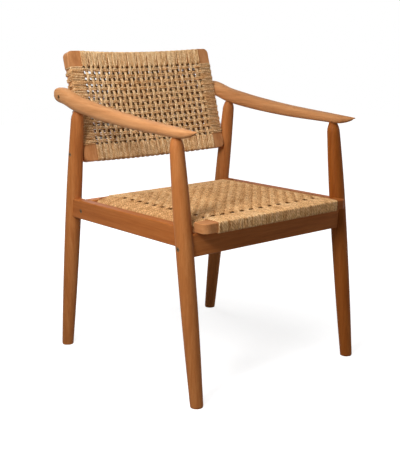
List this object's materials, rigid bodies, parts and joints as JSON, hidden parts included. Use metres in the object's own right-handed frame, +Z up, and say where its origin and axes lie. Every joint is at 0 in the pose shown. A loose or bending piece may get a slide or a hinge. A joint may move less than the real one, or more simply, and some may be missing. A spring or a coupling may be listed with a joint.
{
  "type": "dining armchair",
  "caption": "Wooden dining armchair with turned tapered legs, carved armrests, a woven paper-cord seat and an open woven cord back",
  "frame": {"origin": "On the floor, under the middle of the chair's bounding box", "axes": "+Z is up, -Y is the way the chair faces, +X is the sitter's left"},
  "size_m": [0.5764, 0.6284, 0.8198],
  "materials": {
    "frame_wood": "satin oiled, warm orange brown, fine straight grain",
    "dowel_wood": "plain pale beech, hidden in the joints",
    "cord": "twisted paper cord, straw colour, matt with a slight wax sheen",
    "bolt_steel": "bronzed steel, socket heads",
    "nut_brass": "plain brass, hidden in the wood",
    "screw_steel": "zinc plated, under the seat"
  },
  "bodies": {
    "root": {"left_front_leg": "frame_wood", "right_front_leg": "frame_wood", "left_rear_leg": "frame_wood", "right_rear_leg": "frame_wood", "left_armrest": "frame_wood", "right_armrest": "frame_wood", "left_side_rail": "frame_wood", "right_side_rail": "frame_wood", "left_seat_cleat": "frame_wood", "right_seat_cleat": "frame_wood", "front_rail": "frame_wood", "rear_rail": "frame_wood", "seat_left_bar": "frame_wood", "seat_right_bar": "frame_wood", "seat_front_bar": "frame_wood", "seat_rear_bar": "frame_wood", "back_left_stile": "frame_wood", "back_right_stile": "frame_wood", "back_top_bar": "frame_wood", "back_bottom_bar": "frame_wood", "front_rail_dowels": "dowel_wood", "rear_rail_dowels": "dowel_wood", "seat_front_dowels": "dowel_wood", "seat_rear_dowels": "dowel_wood", "back_top_dowels": "dowel_wood", "back_bottom_dowels": "dowel_wood", "seat_left_wrap": "cord", "seat_right_wrap": "cord", "seat_front_wrap": "cord", "seat_rear_wrap": "cord", "seat_woven_panel": "cord", "back_left_wrap": "cord", "back_right_wrap": "cord", "back_top_wrap": "cord", "back_bottom_wrap": "cord", "back_woven_panel": "cord", "back_rear_panel": "cord", "arm_bolts": "bolt_steel", "back_bolts": "bolt_steel", "rear_rail_bolts": "bolt_steel", "front_rail_bolts": "bolt_steel", "arm_bolt_inserts": "nut_brass", "back_bolt_inserts": "nut_brass", "front_rail_barrel_nuts": "nut_brass", "rear_rail_barrel_nuts": "nut_brass", "cleat_screws": "screw_steel", "seat_screws": "screw_steel"}
  },
  "joints": []
}
